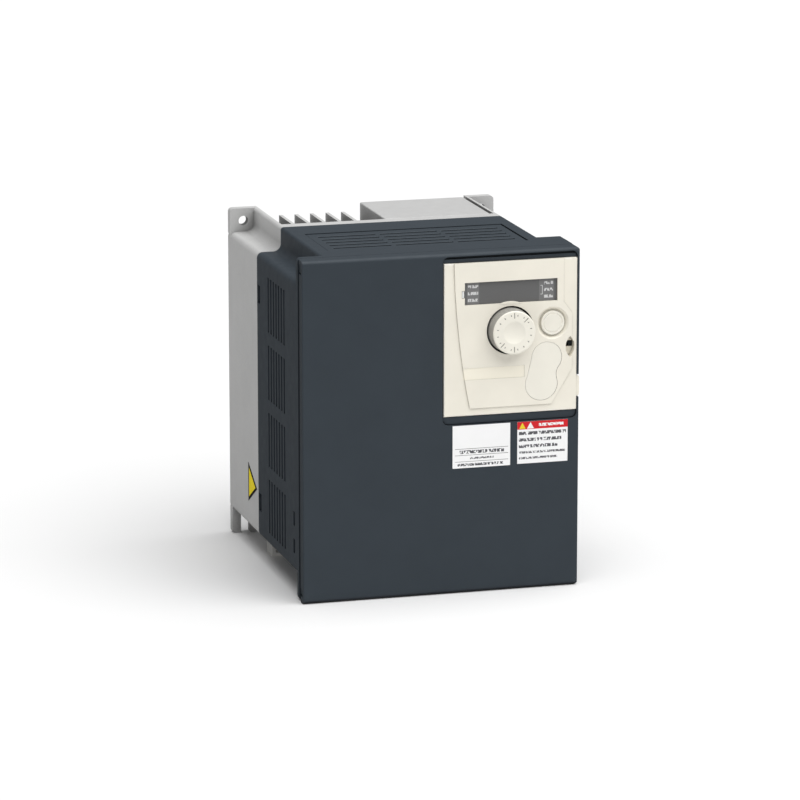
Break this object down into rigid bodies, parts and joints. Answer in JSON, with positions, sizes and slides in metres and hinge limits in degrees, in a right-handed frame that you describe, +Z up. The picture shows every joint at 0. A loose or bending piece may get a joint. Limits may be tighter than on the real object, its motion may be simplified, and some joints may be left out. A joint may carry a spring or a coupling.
{
  "type": "variable frequency drive",
  "caption": "Wall-mounted motor drive: finned metal chassis with fan, slotted dark case, side-hinged door around a cream keypad with display, jog dial and push buttons.",
  "frame": {"origin": "middle of the fixing pattern, on the wall plane at the rear of the chassis", "axes": "+Z up the wall, +X to the right of someone facing the keypad, -Y out of the wall towards the door"},
  "size_m": [0.1424, 0.1595, 0.1725],
  "materials": {
    "cast_aluminium": "fine blasted casting",
    "well_aluminium": "satin sheet",
    "zinc_steel": "zinc plated",
    "black_steel": "black oxide",
    "case_plastic": "fine moulded texture",
    "grille_plastic": "fine moulded texture",
    "cream_plastic": "fine moulded texture",
    "button_plastic": "satin",
    "black_plastic": "satin",
    "grey_plastic": "satin",
    "green_plastic": "satin",
    "red_plastic": "satin",
    "white_plastic": "satin",
    "smoked_window": "smoked",
    "display_face": "gloss",
    "lamp_lens": "clear",
    "label_paper": "printed label",
    "label_yellow": "printed label",
    "board_laminate": "solder mask",
    "capacitor_sleeve": "shrink sleeve",
    "choke_copper": "enamelled wire",
    "transformer_tape": "tape",
    "thermal_paste": "soft",
    "cable_jacket": "insulation",
    "ribbon_jacket": "insulation"
  },
  "bodies": {
    "root": {"heatsink": "cast_aluminium", "capacitor_well": "well_aluminium", "earth_bracket": "zinc_steel", "earth_screws": "zinc_steel", "fan_frame": "black_plastic", "fan_guard": "zinc_steel", "fan_screws": "black_steel", "fan_lead": "cable_jacket", "housing": "case_plastic", "top_grille": "grille_plastic", "hinge_pins": "zinc_steel", "side_label": "label_yellow", "keypad_bezel": "case_plastic", "keypad_panel": "cream_plastic", "display_window": "smoked_window", "segment_display": "display_face", "status_leds": "lamp_lens", "encoder_body": "black_plastic", "keypad_board": "board_laminate", "keypad_screws": "black_steel", "tact_switches": "black_plastic", "ribbon_cable": "ribbon_jacket", "control_board": "board_laminate", "control_standoffs": "zinc_steel", "control_terminals": "green_plastic", "control_terminal_screws": "zinc_steel", "comms_socket": "black_plastic", "logic_switch_base": "black_plastic", "control_chips": "black_plastic", "power_board": "board_laminate", "board_standoffs": "zinc_steel", "board_screws": "zinc_steel", "power_terminals": "grey_plastic", "power_terminal_screws": "zinc_steel", "power_module": "white_plastic", "module_screws": "zinc_steel", "thermal_pad": "thermal_paste", "bus_capacitors": "capacitor_sleeve", "filter_choke": "choke_copper", "relays": "black_plastic", "transformer": "transformer_tape", "current_sensors": "black_plastic"},
    "door": {"front_door": "case_plastic", "name_label": "label_paper", "caution_label": "label_paper"},
    "fan": {"fan_rotor": "black_plastic"},
    "dial_turn": {"encoder_rotor": "grey_plastic"},
    "dial": {"jog_dial": "button_plastic", "dial_shaft": "zinc_steel"},
    "esc": {"esc_button": "button_plastic"},
    "run": {"run_button": "green_plastic"},
    "stop": {"stop_button": "red_plastic"},
    "mode": {"mode_button": "grey_plastic"},
    "cover": {"blanking_cover": "button_plastic"},
    "selector": {"logic_switch": "white_plastic"}
  },
  "joints": [
    {"name": "door_hinge", "type": "hinge", "parent": "root", "child": "door", "pos_m": [-0.068, -0.1468, 0], "axis": [0, 0, -1], "range_deg": [0, 90]},
    {"name": "fan_spin", "type": "hinge", "parent": "root", "child": "fan", "pos_m": [-0.029, -0.027, -0.065], "axis": [0, 0, 1], "continuous": true},
    {"name": "dial_spin", "type": "hinge", "parent": "root", "child": "dial_turn", "pos_m": [0.035, -0.1412, 0.0451], "axis": [0, -1, 0], "continuous": true},
    {"name": "dial_press", "type": "slide", "parent": "dial_turn", "child": "dial", "axis": [0, 1, 0], "range_m": [0, 0.0006]},
    {"name": "esc_press", "type": "slide", "parent": "root", "child": "esc", "axis": [0, 1, 0], "range_m": [0, 0.0006]},
    {"name": "run_press", "type": "slide", "parent": "root", "child": "run", "axis": [0, 1, 0], "range_m": [0, 0.0006]},
    {"name": "stop_press", "type": "slide", "parent": "root", "child": "stop", "axis": [0, 1, 0], "range_m": [0, 0.0006]},
    {"name": "mode_press", "type": "slide", "parent": "root", "child": "mode", "axis": [0, 1, 0], "range_m": [0, 0.0006]},
    {"name": "cover_lift", "type": "slide", "parent": "root", "child": "cover", "axis": [0, -1, 0], "range_m": [0, 0.012]},
    {"name": "selector_slide", "type": "slide", "parent": "root", "child": "selector", "axis": [1, 0, 0], "range_m": [-0.0025, 0.0025]}
  ]
}
